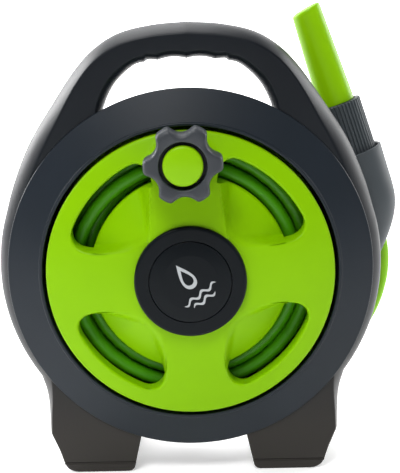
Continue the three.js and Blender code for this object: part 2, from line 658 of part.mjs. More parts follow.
// ---- assembly ---------------------------------------------------------------------------------
add("front_bezel", bezel(), charcoal);
add("front_shell", frontShell(), charcoal);
add("rear_shell", rearShell(), charcoal);
add("foot_pad_left", footPad(-1), charcoal);
add("foot_pad_right", footPad(1), charcoal);
SHELL_SCREWS.forEach(([x, z], k) => {
  const body = screw(20, ARCH_BACK - 3, 1.8, 3.9, 2.6);
  add(`shell_screw_${k + 1}`, body.translate([x, 0, z]), steel);
});

add("water_axle", waterAxle(), acetal);
add("axle_washer", ring(2.6, 13, -15.8, -14.3, 20), steel);
add("axle_screw", screw(12, -20.8, 2, 6.5, 4.6), steel);
add("axle_seal_front", ring(8.6, 10.4, 27.2, 29.6, 20), rubber);
add("axle_seal_rear", ring(8.6, 10.4, 38.2, 40.6, 20), rubber);
add("inlet_elbow", inletElbow(), charcoal);
add("inlet_washer", inletWasher(), rubber);
add("inlet_connector", inletConnector(), charcoal);
elbowScrews().forEach(([x, z], k) => {
  add(`elbow_screw_${k + 1}`, screw(83.5, 93, 1.7, 3.6, 2.4).translate([x, 0, z]), steel);
});
holsterScrews().forEach(([x, z], k) => {
  add(`holster_screw_${k + 1}`, screw(40, ARCH_BACK + 6.4, 1.7, 3.6, 2.2).translate([x, 0, z]), steel);
});

add("drum_front_flange", frontFlange(), lime, drum);
add("drum_barrel", drumBarrel(), charcoal, drum);
add("drum_rear_flange", rearFlange(), lime, drum);
add("front_bush", ring(AXLE_R + 0.2, 13.8, -13, 5, 24), acetal, drum);
add("rear_bush", ring(AXLE_R + 0.2, 13.8, 51, 69, 24), acetal, drum);
drumScrews().forEach(([x, z], k) => {
  add(`drum_screw_${k + 1}`, screw(60, domeY(23) + 0.4, 1.7, 3.6, 2.4).translate([x, 0, z]), steel, drum);
});
add("hub_ring", hubRing(), charcoal, drum);
add("hub_cap", hubCap(), charcoal, drum);
add("swivel_sleeve", swivelSleeve(), acetal, drum);
add("hose_clamp", hoseClamp(), steel, drum);
add("crank_post", crankPost(), charcoal, drum);
add("crank_knob", crankKnob(), charcoal, drum);
const knobWasher = ring(2.4, 11.5, KNOB_FRONT + 7.1, KNOB_FRONT + 8.4, 16);
add("knob_washer", knobWasher.translate([0, 0, CRANK_R]), steel, drum);
add("knob_screw", screw(-10, KNOB_FRONT + 4.2, 1.9, 4.2, 2.5).translate([0, 0, CRANK_R]), steel, drum);
add("knob_cap", knobCap(), lime, drum);
add("hose_tail", hoseTail(), hoseGreen, drum);
add("hose_winding", ring(WINDING_IN, WINDING_OUT, WINDING_FRONT, WINDING_BACK, 48), hoseGreen, drum);

add("nozzle_barrel", nozzleBarrel(), lime, nozzle);
add("spray_face", sprayFace(), lime, nozzle);
add("nozzle_collar", nozzleCollar(), charcoal, nozzle);
add("nozzle_stem", nozzleStem(), charcoal, nozzle);
add("stem_seal", stemSeal(), rubber, nozzle);
add("hose_nut", hoseNut(), charcoal, nozzle);
add("nozzle_holster", nozzleHolster(), charcoal, nozzle);
add("hose_lead", hoseLead(), hoseGreen);

reel.position.set(AXIS_X, BEZEL_Y, AXIS_HEIGHT);

export default reel;
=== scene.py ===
"""A hand-carried garden hose reel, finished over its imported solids.

All shapes are worked out in millimetres round the drum axis: x to the right, y to the back from the
bezel's face, z up. place() turns them into the frame's metres.
"""
import json
import math

import bmesh
import bpy
import numpy as np
from mathutils import Matrix, Vector


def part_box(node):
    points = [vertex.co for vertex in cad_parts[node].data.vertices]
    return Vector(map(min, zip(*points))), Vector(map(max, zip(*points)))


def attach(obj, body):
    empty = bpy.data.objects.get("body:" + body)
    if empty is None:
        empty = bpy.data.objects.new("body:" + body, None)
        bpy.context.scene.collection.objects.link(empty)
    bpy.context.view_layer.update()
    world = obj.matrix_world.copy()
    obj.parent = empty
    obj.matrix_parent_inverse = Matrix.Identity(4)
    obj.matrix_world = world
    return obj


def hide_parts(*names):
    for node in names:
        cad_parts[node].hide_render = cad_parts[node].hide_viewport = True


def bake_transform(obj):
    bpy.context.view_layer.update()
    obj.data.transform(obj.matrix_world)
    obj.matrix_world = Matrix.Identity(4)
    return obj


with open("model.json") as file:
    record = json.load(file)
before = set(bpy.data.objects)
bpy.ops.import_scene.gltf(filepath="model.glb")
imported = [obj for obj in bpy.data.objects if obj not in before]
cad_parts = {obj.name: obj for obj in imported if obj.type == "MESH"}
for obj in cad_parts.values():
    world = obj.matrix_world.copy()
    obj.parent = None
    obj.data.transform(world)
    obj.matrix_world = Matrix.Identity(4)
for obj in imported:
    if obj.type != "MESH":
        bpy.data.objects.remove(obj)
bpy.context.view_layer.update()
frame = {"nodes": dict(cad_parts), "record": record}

# ---- places taken from the frame ----
MM = 0.001
bezel_low, bezel_high = (np.array(corner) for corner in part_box("front_bezel"))
ORIGIN = np.array([
    (bezel_low[0] + bezel_high[0]) / 2,
    bezel_low[1],
    (bezel_low[2] + bezel_high[2]) / 2,
])
FLOOR_Z = -ORIGIN[2] / MM

# ---- driving dimensions in millimetres ----
GAP = 0.3
ARCH_FRONT, ARCH_SPLIT, ARCH_BACK = 12, 32, 52
ARCH_R = 148
TUNNEL_R = 113
HOUSING_R, HOUSING_BACK = 116, 86
BACK_WALL = 3.5
FOOT_BACK = 96
SHELL_BOTTOM = -154
BORE_TOP = 119.5
BEZEL_IN, BEZEL_OUT, BEZEL_SLOPE = 112, 139.4, 10.2

DRUM_TURN = 2.2
DRUM_R = 109
DRUM_RIM_Y = -2.5
DOME_RISE = 19
FLANGE_BACK = 6
WINDOW_IN, WINDOW_OUT = 75.5, 95
HUB_R, HUB_CAP_R, HUB_FACE = 41.6, 30.3, -26.3

CRANK_R = 90
KNOB_TIP_R = 28.7
KNOB_BACK, KNOB_FRONT = -20.6, -52

HOSE_R = 5.5
NOZZLE_LEAN = 18.5
NOZZLE_JOINT = np.array([117.94, 76, 119.09])
BARREL_LENGTH = 77.6
COLLAR_R, COLLAR_LENGTH = 18.9, 48
HOLSTER_R = 23.2


# ---- numbers to places ----
def polar(radius, degrees):
    """Radius and angle, anticlockwise from the right, to x and z."""
    angle = np.radians(degrees)
    return radius * np.cos(angle), radius * np.sin(angle)


def step(value, low, high):
    """Smooth step: 0 below low, 1 above high, and 3t^2 - 2t^3 between them."""
    t = np.clip((value - low) / (high - low), 0, 1)
    return t * t * (3 - 2 * t)


def leant(points, degrees):
    """Points turned round the y axis by an angle, anticlockwise as seen from the front."""
    x, y, z = np.moveaxis(np.asarray(points, float), -1, 0)
    c, s = math.cos(math.radians(degrees)), math.sin(math.radians(degrees))
    return np.stack([x * c - z * s, y, x * s + z * c], axis=-1)


def on_drum(points):
    """From the drum's own directions to the reel's."""
    return leant(points, DRUM_TURN)


def on_nozzle(points):
    """From the nozzle's own axis, which is z with the joint at 0, to the reel's directions."""
    return leant(points, NOZZLE_LEAN) + NOZZLE_JOINT


def place(points):
    """Millimetres round the drum axis to metres in the frame."""
    return np.asarray(points, float) * MM + ORIGIN


# ---- curves ----
def spline(points, steps):
    """Centripetal Catmull-Rom curve: every span between two points is a blend of its four nearest
    points, with knots spaced by the square root of the distance."""
    p = np.asarray(points, float)
    p = np.vstack([2 * p[0] - p[1], p, 2 * p[-1] - p[-2]])
    out = []
    for a, b, c, d in zip(p[:-3], p[1:-2], p[2:-1], p[3:]):
        k = np.cumsum([0] + [np.linalg.norm(v - u) ** 0.5 for u, v in ((a, b), (b, c), (c, d))])
        t = np.linspace(k[1], k[2], steps, endpoint=False)[:, None]
        ab = ((k[1] - t) * a + (t - k[0]) * b) / (k[1] - k[0])
        bc = ((k[2] - t) * b + (t - k[1]) * c) / (k[2] - k[1])
        cd = ((k[3] - t) * c + (t - k[2]) * d) / (k[3] - k[2])
        abc = ((k[2] - t) * ab + (t - k[0]) * bc) / (k[2] - k[0])
        bcd = ((k[3] - t) * bc + (t - k[1]) * cd) / (k[3] - k[1])
        out.append(((k[2] - t) * abc + (t - k[1]) * bcd) / (k[2] - k[1]))
    return np.vstack(out + [p[-2:-1]])


def rounded(corners, steps=6, closed=True):
    """Outline through corners given as two places and a radius. A corner becomes the parabola that
    leaves and meets its two sides where the arc of that radius would."""
    pts = np.array([c[:2] for c in corners], float)
    out = []
    for k, (_, _, radius) in enumerate(corners):
        if radius == 0 or (not closed and k in (0, len(corners) - 1)):
            out.append(pts[k:k + 1])
            continue
        before, after = pts[k - 1] - pts[k], pts[(k + 1) % len(pts)] - pts[k]
        lengths = np.linalg.norm(before), np.linalg.norm(after)
        before, after = before / lengths[0], after / lengths[1]
        half = math.acos(np.clip(before @ after, -1, 1)) / 2
        reach = min(radius / math.tan(half), 0.48 * min(lengths))
        t = np.linspace(0, 1, steps + 1)[:, None]
        out.append(pts[k] + before * reach * (1 - t) ** 2 + after * reach * t ** 2)
    return np.vstack(out)


def arc(radius, start, end, count):
    """Points on a circle round the drum axis between two angles."""
    return np.stack(polar(radius, np.linspace(start, end, count)), axis=-1)


# ---- surfaces ----
def quads(rows, columns, wrap_rows=False, wrap_columns=True):
    """Quads between neighbouring points of a grid, row by row."""
    r, c = np.meshgrid(
        np.arange(rows if wrap_rows else rows - 1),
        np.arange(columns if wrap_columns else columns - 1),
        indexing="ij",
    )
    r2, c2 = (r + 1) % rows, (c + 1) % columns
    corners = [r * columns + c, r * columns + c2, r2 * columns + c2, r2 * columns + c]
    return np.stack(corners, axis=-1).reshape(-1, 4)


def lathe(profile, segments=96, axis="y"):
    """Surface of revolution: the profile's radius turns round the axis, and its second number is the
    place along the axis."""
    radius, along = np.asarray(profile, float).T[:, :, None]
    turn = np.linspace(0, 2 * np.pi, segments, endpoint=False)[None, :]
    u, v, w = radius * np.cos(turn), radius * np.sin(turn), along + 0 * turn
    return np.stack([u, w, v] if axis == "y" else [u, v, w], axis=-1)


def turned_solid(profile, segments=96, axis="y"):
    """Grid of a lathe whose profile closes on itself."""
    points = lathe(profile, segments, axis)
    return points, quads(*points.shape[:2], wrap_rows=True)


def turned_skin(profile, segments=96):
    """Grid of a lathe whose profile starts and ends on the axis."""
    points = lathe(profile, segments)
    return points, quads(*points.shape[:2])


def prism(outline, rows):
    """Closed outline in x and z carried back along y. Each row is a depth and how far the outline
    stands in from its own line, measured square to it."""
    outline = np.asarray(outline, float)
    ahead, behind = np.roll(outline, -1, axis=0), np.roll(outline, 1, axis=0)
    along = ahead - behind
    square = np.stack([along[:, 1], -along[:, 0]], axis=-1)
    square /= np.linalg.norm(square, axis=1, keepdims=True)
    area = np.sum(outline[:, 0] * ahead[:, 1] - ahead[:, 0] * outline[:, 1])
    square *= -np.sign(area)
    points = []
    for depth, inset in rows:
        xz = outline + square * inset
        points.append(np.stack([xz[:, 0], np.full(len(xz), float(depth)), xz[:, 1]], axis=-1))
    points = np.stack(points)
    return points, quads(*points.shape[:2])


def tube(path, radius, sides=16):
    """Round tube along a path: circles square to the path, with their first direction kept level with
    the y axis."""
    path = np.asarray(path, float)
    along = np.gradient(path, axis=0)
    along /= np.linalg.norm(along, axis=1, keepdims=True)
    side = np.cross(along, [0, 1, 0])
    side /= np.linalg.norm(side, axis=1, keepdims=True)
    up = np.cross(side, along)
    turn = np.linspace(0, 2 * np.pi, sides, endpoint=False)[None, :, None]
    ringed = path[:, None] + radius * (side[:, None] * np.cos(turn) + up[:, None] * np.sin(turn))
    return ringed, quads(*ringed.shape[:2])


def mesh_piece(name, surfaces, material, body, nodes=(), sharp=32, flat_ends=True, even=False):
    """Joins grids of points into one closed mesh: points that meet are merged, open flat ends are
    filled, and faces are turned outwards."""
    vertices, faces, start = [], [], 0
    for points, cells in surfaces:
        flat = np.asarray(points, float).reshape(-1, 3)
        vertices.append(flat)
        faces.append(cells + start)
        start += len(flat)
    mesh = bpy.data.meshes.new(name)
    mesh.from_pydata(place(np.vstack(vertices)).tolist(), [], np.vstack(faces).tolist())
    work = bmesh.new()
    work.from_mesh(mesh)
    bmesh.ops.remove_doubles(work, verts=work.verts, dist=0.01 * MM)
    bmesh.ops.dissolve_degenerate(work, edges=work.edges, dist=0.001 * MM)
    if flat_ends:
        fill_flat(work)
    bmesh.ops.recalc_face_normals(work, faces=work.faces)
    work.to_mesh(mesh)
    work.free()
    mesh.shade_smooth()
    mesh.set_sharp_from_angle(angle=math.radians(sharp))
    mesh.materials.append(material)
    piece = bpy.data.objects.new(name, mesh)
    bpy.context.scene.collection.objects.link(piece)
    if even:
        weighted = piece.modifiers.new("even_shading", "WEIGHTED_NORMAL")
        weighted.keep_sharp = True
    if body:
        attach(piece, body)
    if nodes:
        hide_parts(*nodes)
    return piece


def fill_flat(work):
    """Fills open edges that lie together in one plane, holes included."""
    open_edges = [edge for edge in work.edges if edge.is_boundary]
    groups = {}
    for edge in open_edges:
        a, b = (vert.co for vert in edge.verts)
        for axis in range(3):
            if abs(a[axis] - b[axis]) < 2e-7:
                groups.setdefault((axis, round(a[axis], 6)), []).append(edge)
    for edges in sorted(groups.values(), key=len, reverse=True):
        edges = [edge for edge in edges if edge.is_valid and edge.is_boundary]
        if len(edges) > 5:
            bmesh.ops.triangle_fill(work, use_beauty=True, use_dissolve=False, edges=edges)


# ---- materials ----
def colour(code):
    """sRGB hex value to linear red, green, blue and alpha."""
    channels = [int(code[k:k + 2], 16) / 255 for k in (1, 3, 5)]
    return [c / 12.92 if c <= 0.04045 else ((c + 0.055) / 1.055) ** 2.4 for c in channels] + [1]


def node(tree, kind, links=(), **settings):
    """Adds one node. Settings are its own properties or, with the names of sockets, their values;
    links are pairs of an input's name and the output that feeds it."""
    made = tree.nodes.new(kind)
    for name, value in settings.items():
        if hasattr(made, name):
            setattr(made, name, value)
        else:
            made.inputs[name.replace("_", " ")].default_value = value
    for name, output in links:
        tree.links.new(output, made.inputs[name])
    return made


def new_material(name, **shader):
    """A material with one Principled shader and its values, and the object's own coordinates."""
    material = bpy.data.materials.new(name)
    material.use_nodes = True
    tree = material.node_tree
    principled = tree.nodes["Principled BSDF"]
    for key, value in shader.items():
        principled.inputs[key.replace("_", " ")].default_value = value
    place_node = node(tree, "ShaderNodeTexCoord")
    return material, tree, principled, place_node.outputs["Object"]


def moulded(name, shade, light, roughness, grain_mm, grain_depth, painted_floor_reflection=None, **shader):
    """Injection-moulded plastic: the tool's spark-eroded grain as a fine bump, the same grain in the
    roughness, and a slow drift of the shade where the melt cooled unevenly. A painted floor
    reflection, a warmer and lighter shade, takes over towards the ground."""
    material, tree, principled, where = new_material(name, **shader)
    grain = node(tree, "ShaderNodeTexNoise", [("Vector", where)], Scale=1 / (grain_mm * MM), Detail=2)
    drift = node(tree, "ShaderNodeTexNoise", [("Vector", where)], Scale=14, Detail=3)
    tone = node(tree, "ShaderNodeValToRGB", [("Fac", drift.outputs["Fac"])])
    tone.color_ramp.elements[0].position, tone.color_ramp.elements[1].position = 0.3, 0.7
    tone.color_ramp.elements[0].color, tone.color_ramp.elements[1].color = colour(shade), colour(light)
    sheen = node(tree, "ShaderNodeMapRange", [("Value", grain.outputs["Fac"])])
    sheen.inputs["To Min"].default_value = roughness - 0.05
    sheen.inputs["To Max"].default_value = roughness + 0.07
    bump = node(tree, "ShaderNodeBump", [("Height", grain.outputs["Fac"])],
                Strength=grain_depth, Distance=0.1 * MM)
    shown = tone.outputs["Color"]
    if painted_floor_reflection:
        parts = node(tree, "ShaderNodeSeparateXYZ", [("Vector", where)])
        height = node(tree, "ShaderNodeMapRange", [("Value", parts.outputs["Z"])])
        height.inputs["From Min"].default_value, height.inputs["From Max"].default_value = 0.03, 0.13
        mix = node(tree, "ShaderNodeMix", data_type="RGBA")
        mix.inputs["A"].default_value = colour(painted_floor_reflection)
        tree.links.new(height.outputs["Result"], mix.inputs["Factor"])
        tree.links.new(shown, mix.inputs["B"])
        shown = mix.outputs["Result"]
    tree.links.new(shown, principled.inputs["Base Color"])
    tree.links.new(sheen.outputs["Result"], principled.inputs["Roughness"])
    tree.links.new(bump.outputs["Normal"], principled.inputs["Normal"])
    return material


# Black-grey polypropylene off a grained tool: satin, and its grain breaks up the highlights. Towards
# the ground its shade turns warm and lighter: a painted reflection of the brown floor.
charcoal = moulded("polypropylene_charcoal_grained", "#0c1117", "#10151b", 0.4, 0.9, 0.25, "#2b2825",
                   IOR=1.45, Specular_IOR_Level=0.28)
# The bezel's tool is a little finer, and its plastic is a shade lighter than the arch.
ring_charcoal = moulded("polypropylene_charcoal_fine", "#181f26", "#1c232b", 0.42, 0.6, 0.15,
                        IOR=1.45, Specular_IOR_Level=0.3)
# The hub is nearly polished and looks black.
cap_charcoal = moulded("polypropylene_charcoal_smooth", "#0a0f13", "#0d1216", 0.32, 0.5, 0.08,
                       IOR=1.45, Specular_IOR_Level=0.15)
# The nozzle's collar and holster are a lighter grey, dry to the touch.
nozzle_grey = moulded("polypropylene_grey_matt", "#3b4145", "#41474b", 0.5, 0.7, 0.2,
                      IOR=1.45, Specular_IOR_Level=0.4)
# Soft-touch knob skin: a duller grey with a wide soft highlight.
knob_grey = moulded("soft_touch_elastomer_grey", "#2e3237", "#33373c", 0.46, 0.7, 0.25,
                    IOR=1.5, Specular_IOR_Level=0.4)
# Lime polypropylene from a polished tool: bright, with clear but soft highlights.
lime = moulded("polypropylene_lime_polished", "#80b600", "#84bb00", 0.36, 1.1, 0.06,
               IOR=1.45, Specular_IOR_Level=0.12)
# The barrel and button are the same plastic with a little more gloss.
lime_bright = moulded("polypropylene_lime_gloss", "#80b602", "#86bc04", 0.3, 1.1, 0.05,
                      IOR=1.45, Specular_IOR_Level=0.18)
# Plasticised PVC hose: slightly clear green skin with a gloss. This darker green is painted shade: the
# wound hose as it looks in the shade of the drum's windows.
hose_green_painted_shade = moulded("pvc_hose_green_painted_shade", "#3d8604", "#489208", 0.34, 1.4, 0.12,
                     IOR=1.5, Specular_IOR_Level=0.25)
# The free end is the same hose painted nearly as bright as the drum's lime: painted light.
hose_lime_painted_light = moulded("pvc_hose_lime_painted_light", "#7fbf00", "#86c604", 0.32, 1.4, 0.1,
                    IOR=1.5, Specular_IOR_Level=0.25)
# Emblem ink: pale grey pad print.
print_grey = moulded("pad_print_grey", "#a9adb0", "#b0b4b7", 0.45, 0.5, 0.05, IOR=1.5)
# Natural acetal: creamy white, waxy.
acetal = moulded("acetal_natural", "#e2dfd4", "#e8e5db", 0.35, 0.8, 0.05, IOR=1.48)
# Nitrile rubber: black and dull.
rubber = moulded("nitrile_rubber_black", "#141516", "#18191a", 0.7, 0.6, 0.2, IOR=1.52)


def plated_steel():
    """Zinc-plated steel: bright grey metal whose crystals vary the roughness."""
    material, tree, principled, where = new_material("steel_zinc_plated", Metallic=1.0)
    crystals = node(tree, "ShaderNodeTexVoronoi", [("Vector", where)], Scale=1 / (0.8 * MM))
    tone = node(tree, "ShaderNodeValToRGB", [("Fac", crystals.outputs["Distance"])])
    tone.color_ramp.elements[0].color = colour("#b4b8bc")
    tone.color_ramp.elements[1].color = colour("#c8cbce")
    sheen = node(tree, "ShaderNodeMapRange", [("Value", crystals.outputs["Distance"])])
    sheen.inputs["To Min"].default_value = 0.25
    sheen.inputs["To Max"].default_value = 0.42
    tree.links.new(tone.outputs["Color"], principled.inputs["Base Color"])
    tree.links.new(sheen.outputs["Result"], principled.inputs["Roughness"])
    return material


steel = plated_steel()


# ---- camera ----
def make_camera():
    """Camera 950 mm in front of the reel, 12 degrees up, rolled by about one degree."""
    rise, roll, distance = math.radians(12), math.radians(1.1), 950
    target = np.array([7.63, 0, 28.73])
    forward = np.array([0, math.cos(rise), -math.sin(rise)])
    level = np.array([0, math.sin(rise), math.cos(rise)])
    right = math.cos(roll) * np.array([1, 0, 0]) - math.sin(roll) * level
    up = math.sin(roll) * np.array([1, 0, 0]) + math.cos(roll) * level
    data = bpy.data.cameras.new("camera")
    data.sensor_fit = "VERTICAL"
    data.sensor_height = 36
    data.lens = 96.43
    camera = bpy.data.objects.new("camera", data)
    place_matrix = np.eye(4)
    place_matrix[:3, 0], place_matrix[:3, 1], place_matrix[:3, 2] = right, up, -forward
    place_matrix[:3, 3] = place(target - distance * forward)
    camera.matrix_world = Matrix(place_matrix.tolist())
    bpy.context.scene.collection.objects.link(camera)
    bpy.context.scene.camera = camera


make_camera()


# ---- hose ----
HOSE_OD = 2 * HOSE_R
FIRST_LAYER_R = 47.5
LAYERS = 5
COIL_FRONT, COIL_REAR = 13.6, 59.6
TURNS_A_LAYER = 4.18
CLIMB_TURNS = 0.35
POINTS_A_TURN = 36
LEAVES_Y = 58.6
# Free stretch: off the bottom of the drum, out through the slot, up behind the arch to the nozzle.
HOSE_ROUTE = [
    (45.8, 58.6, -91.6), (60, 59.2, -91.6), (77, 61, -91), (94, 64, -88.6), (110, 67.5, -83.4),
    (125, 71.5, -75), (137, 75, -64), (146, 78, -51), (152.2, 80.3, -36.5), (155.8, 81.8, -21),
    (156.4, 82.3, -6), (154.2, 81.4, 8), (150.4, 78.9, 21), (147.2, 76.7, 31.5), (144.6, 76, 39.4),
]


def winding_path():
    """Five layers of a helix, to the back and to the front in turn. Between two layers the hose stays
    at the flange for a third of a turn while its radius grows by one diameter."""
    turn, radius, depth = [0.0], [FIRST_LAYER_R], [COIL_FRONT]
    for layer in range(LAYERS):
        forth = layer % 2 == 0
        last = layer == LAYERS - 1
        turn.append(turn[-1] + TURNS_A_LAYER)
        radius.append(FIRST_LAYER_R + HOSE_OD * layer)
        depth.append(LEAVES_Y if last else (COIL_REAR if forth else COIL_FRONT))
        if not last:
            turn.append(turn[-1] + CLIMB_TURNS)
            radius.append(FIRST_LAYER_R + HOSE_OD * (layer + 1))
            depth.append(depth[-1])
    t = np.linspace(0, turn[-1], int(turn[-1] * POINTS_A_TURN))
    angle = -90 - DRUM_TURN - 360 * (turn[-1] - t)
    x, z = polar(np.interp(t, turn, radius), angle)
    return on_drum(np.stack([x, np.interp(t, turn, depth), z], axis=-1))


winding = winding_path()
# The wound hose takes the darker copy of the hose's colour: painted shade.
hose_winding = mesh_piece(
    "hose_on_drum", [tube(winding, HOSE_R, 14)], hose_green_painted_shade, "drum", ["hose_winding"],
    flat_ends=False)

lead = spline([(12, LEAVES_Y, -91.5), (28, LEAVES_Y, -91.6)] + HOSE_ROUTE, 6)
# The free end takes the lighter copy of the hose's colour: painted light.
hose_lead = mesh_piece(
    "hose_to_nozzle", [tube(lead, HOSE_R, 24)], hose_lime_painted_light, None, ["hose_lead"], flat_ends=False)
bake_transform(hose_lead)


# ---- bezel ----
def front_bezel():
    """Shallow cone with a bead round its inner edge and a rounded outer one: a lathe of a closed
    section whose face falls back outwards."""
    back = ARCH_FRONT - GAP
    section = rounded([(BEZEL_IN, back, 0.3), (BEZEL_IN, 0, 1.0), (BEZEL_IN + 2.2, 0, 1.0),
                       (BEZEL_IN + 3, 1.3, 0.6), (BEZEL_OUT - 0.2, BEZEL_SLOPE, 1.3),
                       (BEZEL_OUT, back, 0.3)], 7)
    mesh_piece("front_bezel_ring", [turned_solid(section, 240)], ring_charcoal, "frame",
               ["front_bezel"], sharp=50)


# ---- arch ----
TOP_INSET, SIDE_INSET, FOOT_INSET = 7.5, 12.5, 4


def arch_outer():
    """Silhouette of the arch from the right foot over the handle to the left foot: foot corner, flare,
    round side, leg and half the handle, then the same mirrored."""
    foot = rounded([(104.8, SHELL_BOTTOM, 0), (108, -147, 8), (114, -133, 6), (114.2, -121, 0)], 5,
                   closed=False)
    flare = spline([(114.2, -121), (114.7, -108), (116.3, -98), polar(ARCH_R, -36)], 8)
    side = arc(ARCH_R, -36, 14, 40)
    leg = spline([polar(ARCH_R, 14), (134.6, 66), (121.3, 97), (103.6, 125), (84, 153), (70, 167.5),
                  (52, 178.5), (27, 184.6), (0, 186.8)], 12)
    right = np.vstack([foot, flare[1:], side[1:], leg[1:]])
    return np.vstack([right, (right * [-1, 1])[-2::-1]])


def arch_under():
    """Inner side of the left foot, the round underside, and the inner side of the right foot."""
    right = np.array([(41.5, -134), (46, SHELL_BOTTOM)])
    left = (right * [-1, 1])[::-1]
    return np.vstack([left, arc(131, -108, -72, 24), right])


def face_inset(x, z):
    """How far the face stands in from the widest line: little at the handle and the feet, most at the
    sides."""
    from_top = np.degrees(np.arccos(np.clip(z / np.hypot(x, z), -1, 1)))
    to_side = (SIDE_INSET - TOP_INSET) * step(from_top, 22, 55)
    return TOP_INSET + to_side - (SIDE_INSET - FOOT_INSET) * step(from_top, 122, 140)


def arch_rows(face_y):
    """Depth, share of the inset, and extra inset of each row from the parting line to the face. The
    side is a parabola and its front edge is a small rounding."""
    half = face_y - ARCH_SPLIT
    toward = np.sign(half)
    rows = [(ARCH_SPLIT + toward * GAP / 2, 0, 0.45), (ARCH_SPLIT + toward * 0.55, 0, 0)]
    rows += [(ARCH_SPLIT + half * t, t * t, 0) for t in np.linspace(0.08, 0.955, 12)]
    rows += [(face_y - toward * 0.45, 0.97, 0.05), (face_y - toward * 0.12, 1, 0.35), (face_y, 1, 1.1)]
    return rows


def arch_side(face_y):
    """Outer side of one half: each row is the silhouette drawn in towards the drum axis."""
    outer, under = arch_outer(), arch_under()
    loop = np.vstack([outer, under])
    movable = np.r_[np.ones(len(outer)), np.zeros(len(under))]
    x, z = loop.T
    r = np.hypot(x, z)
    points = []
    for depth, share, extra in arch_rows(face_y):
        keep = 1 - movable * (face_inset(x, z) * share + extra) / r
        level = np.where(z > SHELL_BOTTOM + 0.5, keep, 1)
        points.append(np.stack([x * keep, np.full(len(x), float(depth)), z * level], axis=-1))
    points = np.stack(points)
    return points, quads(*points.shape[:2])


def hand_outline():
    """Opening for the hand: upright sides, finger recesses as a rectified sine that ends level with
    the sides, and the round lower edge."""
    pitch, depth, half = 21.5, 1.6, 32
    side = spline([(60, 104), (65, 116), (62, 128), (55, 141), (46, 150.5), (38, 156),
                   (half, 157.6)], 8)
    x = np.linspace(half, -half, 73)
    recess = depth * np.abs(np.sin(x * np.pi / pitch)) ** 0.8
    last = depth * np.abs(np.sin(half * np.pi / pitch)) ** 0.8 * step(np.abs(x), half - 3, half)
    grip = np.stack([x, 159.6 - 0.0022 * x ** 2 + recess - last], axis=-1)
    lower = arc(BORE_TOP, 119, 61, 40)
    return np.vstack([side[:-1], grip, (side[:-1] * [-1, 1])[::-1], lower])


def hand_wall(face_y):
    """Wall of the opening in one half. It widens towards the face, so the grip is round."""
    loop = hand_outline()
    x, z = loop.T
    free = np.hypot(x, z) > BORE_TOP + 2
    half = face_y - ARCH_SPLIT
    points = []
    for t in (0.0075, 0.1, 0.25, 0.4, 0.55, 0.7, 0.8, 0.88, 0.94, 0.98, 1.0):
        flare = t ** 3 + 0.25 * max(0, (t - 0.9) / 0.1) ** 2
        points.append(np.stack([
            x + np.sign(x) * 3 * flare * step(np.abs(x), 30, 60) * free,
            np.full(len(x), ARCH_SPLIT + half * t),
            z + 5 * flare * free * step(z, 105, 130),
        ], axis=-1))
    points = np.stack(points)
    return points, quads(*points.shape[:2])


def bore_wall(radius, y0, y1):
    """Round wall of the drum tunnel between two depths."""
    points = np.stack([np.stack([x, np.full(len(x), float(y)), z], axis=-1)
                       for y in (y0, y1) for x, z in [arc(radius, 0, 360, 193)[:-1].T]])
    return points, quads(*points.shape[:2])


def front_arch():
    """Front half of the arch: its side, the hand opening's wall and the bore that the drum fills."""
    split = ARCH_SPLIT - GAP / 2
    mesh_piece("front_arch", [arch_side(ARCH_FRONT), hand_wall(ARCH_FRONT),
                              bore_wall(TUNNEL_R, ARCH_FRONT, split)],
               charcoal, "frame", ["front_shell"], even=True)


SCREW_WELLS = [(38, 170), (95, 103), (121, -26)]
WELL_R, WELL_DEPTH = 4.4, 5.8


def screw_well(x, z):
    """Round well for a screw's head, open at the rear face: a lathe from its mouth to its floor."""
    floor = ARCH_BACK - WELL_DEPTH
    points, cells = turned_skin([(WELL_R + 0.3, ARCH_BACK), (WELL_R, ARCH_BACK - 0.4), (WELL_R, floor),
                                 (0, floor)], 32)
    return points + [x, 0, z], cells


def rear_arch():
    """Rear half of the arch, with the wells of its six face screws."""
    split = ARCH_SPLIT + GAP / 2
    wells = [screw_well(side * x, z) for side in (-1, 1) for x, z in SCREW_WELLS]
    mesh_piece("rear_arch", [arch_side(ARCH_BACK), hand_wall(ARCH_BACK),
                             bore_wall(HOUSING_R - 1, split, ARCH_BACK)] + wells,
               charcoal, "frame", ["rear_shell"], even=True)


SLOT_Y = (52.5, 72)
SLOT_ANGLES = (-61, -41.4)


